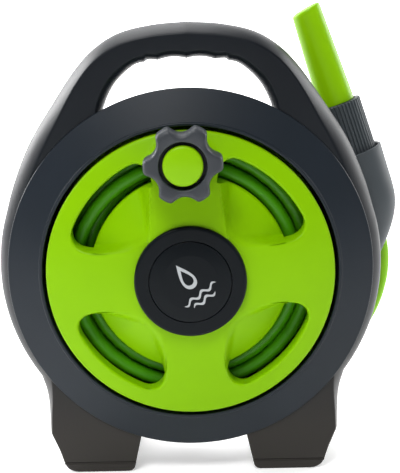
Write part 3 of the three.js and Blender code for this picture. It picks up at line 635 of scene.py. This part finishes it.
def drum_housing():
    """Round tunnel behind the arch with a closed back: a lathe of its wall, with a raised ring and a
    flat seat round the inlet on the back wall. The slot that the hose leaves by is left out of the
    outer and inner wall, and its four sides are closed."""
    back, inner = HOUSING_BACK, HOUSING_BACK - BACK_WALL
    section = rounded([
        (10.3, inner, 0), (TUNNEL_R, inner, 2), (TUNNEL_R, SLOT_Y[1], 0), (TUNNEL_R, SLOT_Y[0], 0),
        (TUNNEL_R, ARCH_SPLIT + GAP, 0), (HOUSING_R, ARCH_SPLIT + GAP, 0), (HOUSING_R, SLOT_Y[0], 0),
        (HOUSING_R, SLOT_Y[1], 0), (HOUSING_R, back - 1.5, 5), (97, back - 1.5, 1.5),
        (95.5, back, 1.5), (88, back, 1.5), (86.5, back - 1.5, 1.5), (44, back - 1.5, 1.5),
        (42, back, 1.5), (10.3, back, 0)], 5)
    points, cells = turned_solid(section, 200)
    columns = points.shape[1]
    in_slot = np.abs(section[:, 1] - np.mean(SLOT_Y)) <= 0.5 * np.ptp(SLOT_Y) + 0.01
    inner_rows = np.flatnonzero(in_slot & (section[:, 0] == TUNNEL_R))
    outer_rows = np.flatnonzero(in_slot & (section[:, 0] == HOUSING_R))
    first, last = (round((angle % 360) / 360 * columns) for angle in SLOT_ANGLES)
    row, column = np.divmod(cells[:, 0], columns)
    gone = np.isin(row, [inner_rows[0], outer_rows[0]]) & (column >= first) & (column < last)
    along = np.arange(first, last)
    sides = []
    for low, high in ((inner_rows[1], outer_rows[0]), (inner_rows[0], outer_rows[1])):
        low, high = low * columns, high * columns
        sides.append(np.stack([low + along, low + along + 1, high + along + 1, high + along], axis=-1))
    ends = [[inner_rows[0] * columns + k, inner_rows[1] * columns + k,
             outer_rows[0] * columns + k, outer_rows[1] * columns + k] for k in (first, last)]
    cells = np.vstack([cells[~gone], *sides, ends])
    mesh_piece("drum_housing", [(points, cells)], charcoal, "frame",
               ["rear_shell"], flat_ends=False, even=True)


def rear_feet():
    """Rear half of each foot: a prism from the arch to the back with rounded back edges."""
    outline = rounded([(46, SHELL_BOTTOM, 0), (104.5, SHELL_BOTTOM, 0), (107, -140, 8), (104, -106, 10),
                       (88, -80, 8), (40, -105, 5), (42, -134, 3)], 6)
    end = FOOT_BACK
    rows = [(ARCH_BACK - 6, 0), (end - 3, 0), (end - 1.6, 0.45), (end - 0.6, 1.4), (end, 3)]
    for side, name in ((-1, "rear_foot_left"), (1, "rear_foot_right")):
        points, cells = prism(outline, rows)
        mesh_piece(name, [(points * [side, 1, 1], cells)], charcoal, "frame",
                   ["rear_shell"], even=True)


def foot_pads():
    """Pad under each foot: the foot's outline carried down to a round outer and inner corner. Its
    outer side follows the foot's front, which stands in from the parting line by a parabola."""
    top, middle, corner_r = SHELL_BOTTOM - GAP, 75, 186
    outer = spline([(104.6, top), (103.6, -156.8), (101.4, -159.6), (97.8, -161.6), (93, FLOOR_Z)], 5)
    inner = spline([(51.8, FLOOR_Z), (49.2, -161.6), (47.4, -159.7), (46.6, -157), (46.1, top)], 5)
    outline = np.vstack([outer, inner])
    front, back = ARCH_FRONT, FOOT_BACK
    rows = [(front, 1.5), (front + 0.15, 0.8), (front + 0.5, 0.25), (front + 1.1, 0), (front + 4, 0),
            (front + 8, 0), (front + 13, 0), (ARCH_SPLIT, 0), (back - 2.2, 0), (back - 1.2, 0.3),
            (back - 0.5, 1), (back, 2.2)]
    for side, name in ((-1, "foot_pad_left"), (1, "foot_pad_right")):
        points, cells = prism(outline, rows)
        x, y = points[..., 0], points[..., 1]
        ahead = np.clip((ARCH_SPLIT - y) / (ARCH_SPLIT - ARCH_FRONT), 0, 1)
        points[..., 0] = x - FOOT_INSET * ahead ** 2 * (x > middle) * x / corner_r
        points[..., 2] = np.clip(points[..., 2], FLOOR_Z, top)
        mesh_piece(name + "_skin", [(points * [side, 1, 1], cells)], charcoal, "frame",
                   [name], even=True)


# ---- drum ----
SIDE_TO = 82
CORNER_R = 13
LIP_R, EDGE_R = 2.4, 1.6
HUB_SEAT_R = 30
DISH_FROM_R, DISH_Y, DISH_FALL = 44, -19.3, 22.3
BLOCK_HALF, BLOCK_KNEE, BLOCK_TOP = 25.6, 72, 106
BLOCK_Y, BLOCK_FLANK, BLOCK_BLEND = -18.5, 3.2, 6.5


def dome(r):
    """Front surface of the spokes and rim: highest at the hub, falling faster towards the rim."""
    return DRUM_RIM_Y - DOME_RISE * (1 - (np.maximum(0, r - HUB_SEAT_R) / (DRUM_R - HUB_SEAT_R)) ** 1.6)


def window_edge(r):
    """Angle in degrees from a spoke's middle to the window's side: it closes on the spoke from the hub
    outwards, then turns into the outer edge on a round corner."""
    inner = 17.5 + 10.5 * (np.maximum(0, SIDE_TO - r) / 36) ** 1.9
    out = np.clip(r - SIDE_TO, 0, CORNER_R)
    corner = CORNER_R - np.sqrt(CORNER_R ** 2 - out ** 2)
    return np.minimum(inner, 32) + np.degrees(corner / np.maximum(r, 1))


def flange_rows():
    """Radii of the grid's rows, closer together at the lip of the windows and at the rim."""
    inner = np.linspace(18, 40, 4, endpoint=False)
    floor = np.linspace(40, WINDOW_IN - EDGE_R, 30, endpoint=False)
    lip = WINDOW_IN - EDGE_R * np.cos(np.linspace(0, np.pi / 2, 6))[:-1]
    strip = np.linspace(WINDOW_IN, SIDE_TO, 8, endpoint=False)
    corner = SIDE_TO + CORNER_R * np.sin(np.linspace(0, np.pi / 2, 18))
    beyond = WINDOW_OUT + np.array([0.25, 0.6, 1.1, 1.7, 2.4, 3.6, 5, 7, 9, 10.6])
    rim = DRUM_R - EDGE_R * (1 - np.sin(np.linspace(0, np.pi / 2, 7)))
    return np.r_[inner, floor, lip, strip, corner, beyond, rim]


def flange_grid():
    """Angles of the grid: in each quarter the spoke's half, the window and the next spoke's half, all
    stretched so that two columns follow the window's sides."""
    r = flange_rows()[:, None]
    edge = window_edge(r)
    along = np.linspace(0, 1, 20, endpoint=False)
    across = (1 - np.cos(np.linspace(0, np.pi, 44, endpoint=False))) / 2
    quarter = np.concatenate([edge * (1 - (1 - along) ** 1.7), edge + (90 - 2 * edge) * across,
                              90 - edge * (1 - along ** 1.7)], axis=1)
    angle = np.concatenate([quarter + 90 * k for k in range(4)], axis=1)
    return r + 0 * angle, angle


def side_distance(r, angle):
    """Millimetres from the nearest window's side line: more than 0 inside the window."""
    from_spoke = 45 - np.abs((angle % 90) - 45)
    return np.radians(from_spoke - window_edge(r)) * r


def outline_distance(r, angle):
    """Millimetres from the open strip's own edge, for points outside it."""
    from_spoke = 45 - np.abs((angle % 90) - 45)
    rows = np.linspace(WINDOW_IN - 12, WINDOW_OUT, 160)
    best = np.full(r.shape, 1e3)
    px, pz = polar(r, from_spoke)
    for row in rows:
        ex, ez = polar(row, float(window_edge(np.array(row))))
        best = np.minimum(best, np.hypot(px - ex, pz - ez))
    past = np.where(from_spoke > window_edge(np.array(WINDOW_OUT - 0.01)), np.abs(r - WINDOW_OUT), 1e3)
    return np.minimum(best, past)


def crank_block(x, z):
    """Raised front of the crank spoke: straight sides that flare towards the hub, a half ellipse
    under the knob, and steep flanks."""
    above = np.clip((z - BLOCK_KNEE) / (BLOCK_TOP - BLOCK_KNEE), 0, 1)
    half = BLOCK_HALF * np.sqrt(1 - above ** 2) + 0.06 * np.maximum(0, BLOCK_KNEE - z)
    side = np.hypot(np.maximum(0, np.abs(x) - half), np.maximum(0, z - BLOCK_TOP))
    plane = BLOCK_Y - 3 * (CRANK_R - z) / 45
    under_hub = np.where(z < HUB_SEAT_R, 60, 0)
    return plane + BLOCK_FLANK * side + under_hub


def soft_min(a, b, width):
    """The smaller of two, blended where they are closer than width."""
    h = np.maximum(0, width - np.abs(a - b)) / width
    return np.minimum(a, b) - h * h * width / 4


def front_flange():
    """Drum face as a relief over radius and angle: dome, dished floors between the spokes, rounded
    window lips and the crank block. The open strips are left out, and a flat back closes it."""
    r, angle = flange_grid()
    x, z = polar(r, angle)
    inside = side_distance(r, angle)
    outwards = np.clip((r - DISH_FROM_R) / (WINDOW_IN - DISH_FROM_R), 0, 1)
    floor = DISH_Y + DISH_FALL * outwards ** 1.12
    floor = floor + 1.3 * np.clip((r - WINDOW_IN + EDGE_R) / EDGE_R, 0, 1) ** 2
    fade = 3.2 + 15 * np.clip((WINDOW_IN - r) / 32, 0, 1) ** 1.5
    sink = step(inside, 0, fade) * step(r, 42, 50)
    lip = LIP_R - np.sqrt(LIP_R ** 2 - np.clip(LIP_R - outline_distance(r, angle), 0, LIP_R) ** 2)
    lip = np.where(inside < 0.01, lip, np.where(r >= WINDOW_OUT, lip, 0))
    height = dome(r) + np.maximum(0, floor - dome(r)) * np.where(r <= WINDOW_IN + 0.01, sink, 0)
    beside_block = (np.abs(x) < 34) & (z > 0)
    lip = lip * np.where(beside_block, step(r, 74, 79), step(r, 58, 76))
    height = soft_min(height + lip, crank_block(x, z), BLOCK_BLEND)
    rim = np.clip((r - DRUM_R + EDGE_R) / EDGE_R, 0, 1)
    height = height + EDGE_R * (1 - np.sqrt(1 - rim ** 2 * 0.999))
    rows, columns = r.shape
    cells = quads(rows, columns)
    middle_r = r.reshape(-1)[cells].mean(axis=1)
    middle_in = inside.reshape(-1)[cells].mean(axis=1)
    solid = ~((middle_r > WINDOW_IN) & (middle_r < WINDOW_OUT) & (middle_in > 0))
    cells = cells[solid]
    top = np.stack([x, height, z], axis=-1)
    back = np.stack([x, np.full(x.shape, float(FLANGE_BACK)), z], axis=-1)
    surfaces = [(on_drum(top), cells), (on_drum(back), cells[:, ::-1])]
    pairs = np.sort(np.stack([cells, np.roll(cells, -1, axis=1)], axis=-1).reshape(-1, 2), axis=1)
    edges, counts = np.unique(pairs, axis=0, return_counts=True)
    a, b = edges[counts == 1].T
    total = rows * columns
    both = np.concatenate([on_drum(top).reshape(-1, 3), on_drum(back).reshape(-1, 3)])
    surfaces.append((both, np.stack([a, b, b + total, a + total], axis=-1)))
    mesh_piece("drum_face", surfaces, lime, "drum", ["drum_front_flange"], sharp=50,
               flat_ends=False)


def hub():
    """Hub ring and cap as lathes, with a fine groove between them."""
    low = float(dome(HUB_R)) + 1
    ring = rounded([(20, HUB_FACE + 4, 0), (HUB_CAP_R + 0.5, HUB_FACE + 4, 0),
                    (HUB_CAP_R + 0.5, HUB_FACE, 0.5), (HUB_R, HUB_FACE, 2.6), (HUB_R, low, 0.4),
                    (20, low, 0)], 6)
    points, cells = turned_solid(ring, 144)
    mesh_piece("hub_ring_skin", [(on_drum(points), cells)], cap_charcoal, "drum",
               ["hub_ring"], even=True)
    rear = HUB_FACE + 4 - GAP
    cap = rounded([(0, rear, 0), (HUB_CAP_R, rear, 0), (HUB_CAP_R, HUB_FACE - 0.2, 0.6),
                   (HUB_CAP_R - 10, HUB_FACE - 1.1, 6), (0, HUB_FACE - 1.5, 0)], 6, closed=False)
    points, cells = turned_skin(cap, 144)
    mesh_piece("hub_cap_skin", [(on_drum(points), cells)], cap_charcoal, "drum",
               ["hub_cap"])


def cap_face(x, z):
    """Depth of the cap's face under a point of the emblem."""
    r = np.hypot(x, z)
    return HUB_FACE - 1.5 + 0.4 * np.clip(r / (HUB_CAP_R - 10), 0, 1) ** 2


def emblem():
    """Generic print on the cap: a water drop over two waves, 0.15 mm proud and leaning left."""
    lean = 38
    t = np.linspace(0, 2 * np.pi, 65)[:-1]
    drop = np.stack([7.6 * np.sin(t) * np.sin(t / 2) ** 1.4, 6.2 + 10.8 * np.cos(t)], axis=-1)
    inner = drop * [0.66, 0.62] + [0, 1.2]
    pieces = [np.stack([drop, inner])]
    for low, half in ((-11.3, 14.9), (-16.5, 10.0)):
        x = np.linspace(-half, half, 41)
        wave = low + 1.5 * np.sin(x * 2 * np.pi / 9.9)
        width = np.sqrt(np.clip(1 - (x / half) ** 4, 0, 1))
        pieces.append(np.stack([np.stack([x, wave + side * width], axis=-1) for side in (1, -1)]))
    surfaces = []
    for index, two in enumerate(pieces):
        closed = index == 0
        x, z = two[..., 0], two[..., 1]
        front = leant(np.stack([x, cap_face(x, z) - 0.15, z], axis=-1), lean)
        rear = leant(np.stack([x, cap_face(x, z) + 0.2, z], axis=-1), lean)
        section = np.stack([front[0], front[1], rear[1], rear[0]])
        surfaces.append((section, quads(4, section.shape[1], wrap_rows=True, wrap_columns=closed)))
    mesh_piece("cap_emblem", surfaces, print_grey, "drum", flat_ends=False)


# ---- crank knob ----
def knob_outline(count):
    """Disc less six round scoops that stand on its edge. Its corners are eased by spreading the
    outline along itself with a bell: each Fourier term k is damped by exp(-(k s)^2 / 2)."""
    scoop_r, scoop_at, spread = 11, 33, 2.8
    turn = np.linspace(0, 360, 7200, endpoint=False)
    off = np.radians((turn % 60) - 30)
    reach = np.maximum(scoop_r ** 2 - (scoop_at * np.sin(off)) ** 2, 0)
    scoop = np.where(reach > 0, scoop_at * np.cos(off) - np.sqrt(reach), KNOB_TIP_R)
    x, z = polar(np.minimum(scoop, KNOB_TIP_R + 0.9), turn)
    line = x + 1j * z
    travelled = np.r_[0, np.cumsum(np.abs(np.diff(np.r_[line, line[0]])))]
    even = np.linspace(0, travelled[-1], count, endpoint=False)
    line = np.interp(even, travelled, np.r_[line, line[0]])
    wave = np.fft.fftfreq(count, travelled[-1] / count) * 2 * np.pi
    line = np.fft.ifft(np.fft.fft(line) * np.exp(-(wave * spread) ** 2 / 2))
    return np.stack([line.real, line.imag], axis=-1)


def crank_knob():
    """Knob: the lobed outline scaled by a profile from the recess over the rounded front edge to the
    narrower back."""
    lobed = knob_outline(240)
    circle = lobed / np.linalg.norm(lobed, axis=1, keepdims=True)
    depth = KNOB_BACK - KNOB_FRONT
    front = [(0.82, 0.0), (0.875, 0.004), (0.925, 0.02), (0.965, 0.055), (0.99, 0.11), (1.0, 0.19)]
    body = [(1.0, t) for t in np.linspace(0.25, 0.5, 5)]
    rear = [(0.8 + 0.2 * math.sqrt(max(0, 1 - (2 * t - 1) ** 2)), t) for t in np.linspace(0.56, 1, 12)]
    bore, recess = 6.2, 17.2
    rows = []
    for radius, t in ((bore, 0.38), (recess, 0.38), (recess, 0.03), (17.5, 0.008), (18.0, 0.0)):
        rows.append((circle * radius, t))
    for scale, t in front + body + rear:
        rows.append((lobed * scale, t))
    rows.append((circle * bore, 1.0))
    points = np.stack([
        np.stack([xz[:, 0], np.full(len(xz), KNOB_FRONT + depth * t), xz[:, 1] + CRANK_R], axis=-1)
        for xz, t in rows])
    grid = (on_drum(points), quads(*points.shape[:2], wrap_rows=True))
    mesh_piece("crank_knob_skin", [grid], knob_grey, "knob", ["crank_knob"], sharp=40)


def knob_button():
    """Domed button in the knob's face; a lathe round the knob's axis."""
    face, edge = KNOB_FRONT + 0.9, 14.5
    dome_r = np.linspace(edge - 1.1, 0, 12)
    crown = np.stack([dome_r, face - 0.6 - 1.9 * (1 - (dome_r / edge) ** 2)], axis=-1)
    rim = np.array([(0, face + 6), (edge, face + 6), (edge, face + 0.9), (edge - 0.15, face + 0.3),
                    (edge - 0.5, face - 0.3)])
    cap = np.vstack([rim, crown])
    points, cells = turned_skin(cap, 96)
    mesh_piece("knob_button", [(on_drum(points + [0, 0, CRANK_R]), cells)], lime_bright, "drum",
               ["knob_cap"])


# ---- nozzle ----
def nozzle_barrel():
    """Tapered barrel: a lathe whose upper rows lean over until the end is slanted, with a rounded
    rim and a shallow seat for the spray face."""
    slant = math.tan(math.radians(11))
    rows = [(4, 0, 0), (14.3, 0, 0), (14.3, 4, 0), (14.1, 12, 0.0)]
    rows += [(14.1 - 2.2 * t, 12 + (BARREL_LENGTH - 16) * t, t ** 2) for t in np.linspace(0.06, 1, 16)]
    end = BARREL_LENGTH
    rows += [(11.75, end - 2.2, 1), (11.5, end - 1.1, 1), (11.0, end - 0.4, 1), (10.2, end, 1),
             (9.4, end + 0.05, 1), (9.2, end - 1.4, 1), (4, end - 1.4, 1)]
    turn = np.linspace(0, 2 * np.pi, 96, endpoint=False)
    points = []
    for radius, height, share in rows:
        x, y = radius * np.cos(turn), radius * np.sin(turn)
        points.append(np.stack([x, y, height + x * slant * share], axis=-1))
    points = np.stack(points)
    grid = (on_nozzle(points), quads(*points.shape[:2], wrap_rows=True))
    mesh_piece("nozzle_barrel_skin", [grid], lime_bright, "nozzle", ["nozzle_barrel"], sharp=40)


def nozzle_collar():
    """Collar with fine ribs: its radius follows a rounded square wave round the axis, and fades to a
    plain rim at both ends."""
    ribs, root_r = 40, 17.4
    turn = np.linspace(0, 2 * np.pi, ribs * 10, endpoint=False)
    wave = 0.5 + 0.5 * np.tanh(3 * (np.cos(turn * ribs) + 0.3))
    rows = [(15.2, -GAP, 0), (17.7, -GAP, 0), (17.6, -0.5, 0.6), (17.5, -1.0, 1)]
    rows += [(root_r, h, 1) for h in np.linspace(-2, -COLLAR_LENGTH + 4, 14)]
    rows += [(18.2, -COLLAR_LENGTH + 2, 0), (18.0, -COLLAR_LENGTH, 0), (15.2, -COLLAR_LENGTH, 0)]
    points = []
    for radius, height, ribbed in rows:
        r = radius + ribbed * (COLLAR_R - root_r) * wave
        level = np.full(turn.shape, height)
        points.append(np.stack([r * np.cos(turn), r * np.sin(turn), level], axis=-1))
    points = np.stack(points)
    grid = (on_nozzle(points), quads(*points.shape[:2], wrap_rows=True))
    mesh_piece("nozzle_collar_skin", [grid], nozzle_grey, "collar", ["nozzle_collar"],
               sharp=45)


BEND = -80.4
HOLSTER_WALL = 2.2
BACK_OPENS_AT = -92.4


def nozzle_holster():
    """Holster: a round cup that narrows downwards and bends towards the upright; its wall is open at
    the lower back for the hose."""
    outside = spline([(HOLSTER_R, -41), (22.8, -56.4), (22, BEND), (19.6, -95.4), (15.6, -109.4),
                      (10.5, -124.4), (7.6, -135.4)], 8)
    lip = [(HOLSTER_R - HOLSTER_WALL, -41.7), (HOLSTER_R - 1.7, -41.15), (HOLSTER_R - 1.1, -41.0),
           (HOLSTER_R - 0.5, -41.15)]
    outside[0] = (HOLSTER_R, -41.7)
    inside = outside[::-1] - [HOLSTER_WALL, 0]
    profile = np.vstack([outside, inside[:-1], lip])
    turn = np.linspace(0, 2 * np.pi, 96, endpoint=False)
    radius, height = profile.T[:, :, None]
    down = np.maximum(0, BEND - height)
    points = np.stack([radius * np.cos(turn) - 0.0065 * down ** 2, radius * np.sin(turn),
                       height + 0 * turn], axis=-1)
    cells = quads(*points.shape[:2], wrap_rows=True)
    middle = points.reshape(-1, 3)[cells].mean(axis=1)
    kept = cells[~((middle[:, 2] < BACK_OPENS_AT) & (middle[:, 1] > 0))]
    mesh_piece("nozzle_holster_skin", [(on_nozzle(points), kept)], nozzle_grey, "frame",
               ["nozzle_holster"], sharp=40, flat_ends=False)


def holster_bracket():
    """Plate and web that hold the holster on the back of the arch."""
    y0 = ARCH_BACK + GAP - NOZZLE_JOINT[1]
    outline = rounded([(-22, -100.4, 4), (-4, -100.4, 1), (-4, -46.4, 1), (-22, -46.4, 4)], 5)
    points, cells = prism(outline, [(y0, 0.6), (y0 + 0.6, 0), (y0 + 2.9, 0), (y0 + 3.5, 0.6)])
    across = rounded([(-13.5, -92.4, 1), (-3, -92.4, 1), (-3, -54.4, 1), (-13.5, -54.4, 1)], 3)
    web, web_cells = prism(across, [(y0 + 1, 0), (-13, 0)])
    mesh_piece("holster_bracket", [(on_nozzle(points), cells), (on_nozzle(web), web_cells)], charcoal,
               "frame", ["nozzle_holster"])


# ---- water inlet ----
def water_inlet():
    """Elbow on the back wall: a lathe over the axle's end, two ears, and a pipe that points down with
    the tap connector below it."""
    near, far, pipe_y = HOUSING_BACK + GAP, 112, 99
    knuckle = [(0, near, 0), (16, near, 0.3), (16, far - 1, 4), (11, far, 3), (0, far, 0)]
    body = turned_skin(rounded(knuckle, 6, closed=False), 96)
    ears = prism(rounded([(-27, -6, 5.5), (27, -6, 5.5), (27, 6, 5.5), (-27, 6, 5.5)], 8),
                 [(near, 0), (near + 3.4, 0), (near + 4, 0.6)])
    pipe = [(5, -8, 0), (9.5, -8, 0), (9.5, -42, 0), (10.6, -43, 0.4), (10.6, -47.6, 0.6),
            (5, -48, 0.3)]
    points, cells = turned_solid(rounded(pipe, 5), 72, "z")
    mesh_piece("inlet_elbow_skin", [body, ears, (points + [0, pipe_y, 0], cells)], charcoal, "frame",
               ["inlet_elbow"])
    nut = [(4.5, -50.3, 0.3), (11, -50.3, 1), (11, -59.3, 1), (8.2, -59.8, 0.3)]
    groove = [(8.2, -70.3, 0.3), (7, -70.3, 0), (7, -73.3, 0), (8.2, -73.3, 0.3)]
    spigot = [(8.2, -83.3, 0.6), (7.2, -84.3, 0.4), (4.5, -84.3, 0.3)]
    points, cells = turned_solid(rounded(nut + groove + spigot, 5), 72, "z")
    mesh_piece("inlet_connector_skin", [(points + [0, pipe_y, 0], cells)], charcoal, "frame",
               ["inlet_connector"])


# ---- finish of the solids that stay ----
KEPT_FINISH = {"charcoal": charcoal, "steel": steel, "acetal": acetal, "rubber": rubber, "lime": lime,
               "hose": hose_green_painted_shade}


def finish_solids():
    """Gives every solid of the frame the material of its slot."""
    slots = {entry["node"]: entry["material_slot"] for entry in frame["record"]["subparts"]}
    for name, solid in frame["nodes"].items():
        solid.data.materials.clear()
        solid.data.materials.append(KEPT_FINISH[slots[name]])


# ---- stage ----
SWEEP_GLOW, SURROUND = 1.3, 0.22
AIM = (0, 0, 0.17)


def soft_light(name, size, power, at):
    """Square area light aimed at the middle of the reel."""
    data = bpy.data.lights.new(name, "AREA")
    data.size, data.energy = size, power
    light = bpy.data.objects.new(name, data)
    light.location = at
    light.rotation_mode = "QUATERNION"
    light.rotation_quaternion = (Vector(AIM) - Vector(at)).to_track_quat("-Z", "Y")
    bpy.context.scene.collection.objects.link(light)


def stage():
    """White sweep that glows at the back, an even surround, a broad front light from the upper left,
    and three behind the reel that catch its edges from the left, from above and from the right."""
    reach, bend_at, bend_r, height = 5.0, 1.6, 0.8, 3.4
    turn = np.linspace(0, np.pi / 2, 13)
    profile = np.vstack([[(-reach, 0)], np.stack([bend_at + bend_r * np.sin(turn),
                                                  bend_r * (1 - np.cos(turn))], axis=-1),
                         [(bend_at + bend_r, height)]])
    left = np.stack([np.full(len(profile), -reach), profile[:, 0], profile[:, 1]], axis=-1)
    points = np.stack([left, left * [-1, 1, 1]], axis=1)
    mesh = bpy.data.meshes.new("sweep")
    cells = quads(len(profile), 2, wrap_columns=False)[:, ::-1]
    mesh.from_pydata(points.reshape(-1, 3).tolist(), [], cells.tolist())
    mesh.shade_smooth()
    sweep = bpy.data.objects.new("sweep", mesh)
    paper, tree, principled, where = new_material("studio_paper_white", Roughness=0.9)
    principled.inputs["Base Color"].default_value = colour("#f4f4f4")
    principled.inputs["Emission Color"].default_value = (1, 1, 1, 1)
    parts = node(tree, "ShaderNodeSeparateXYZ", [("Vector", where)])
    glow = node(tree, "ShaderNodeMapRange", [("Value", parts.outputs["Y"])])
    glow.inputs["From Min"].default_value, glow.inputs["From Max"].default_value = -0.6, 1.6
    glow.inputs["To Max"].default_value = SWEEP_GLOW
    tree.links.new(glow.outputs["Result"], principled.inputs["Emission Strength"])
    mesh.materials.append(paper)
    bpy.context.scene.collection.objects.link(sweep)
    world = bpy.data.worlds.new("studio")
    world.use_nodes = True
    background = world.node_tree.nodes["Background"]
    background.inputs["Color"].default_value = (1, 1, 1, 1)
    background.inputs["Strength"].default_value = SURROUND
    bpy.context.scene.world = world
    bpy.context.scene.view_settings.view_transform = "Standard"
    soft_light("light_front", 1.0, 50, (-0.5, -1.45, 2.35))
    soft_light("light_above", 1.3, 26, (-0.4, 0.9, 2.1))
    soft_light("light_left", 1.0, 40, (-1.5, 0.9, 0.9))
    soft_light("light_right", 1.0, 16, (1.5, 0.8, 0.8))


finish_solids()
front_bezel()
front_arch()
rear_arch()
drum_housing()
rear_feet()
foot_pads()
front_flange()
hub()
emblem()
crank_knob()
knob_button()
nozzle_barrel()
nozzle_collar()
nozzle_holster()
holster_bracket()
water_inlet()
stage()
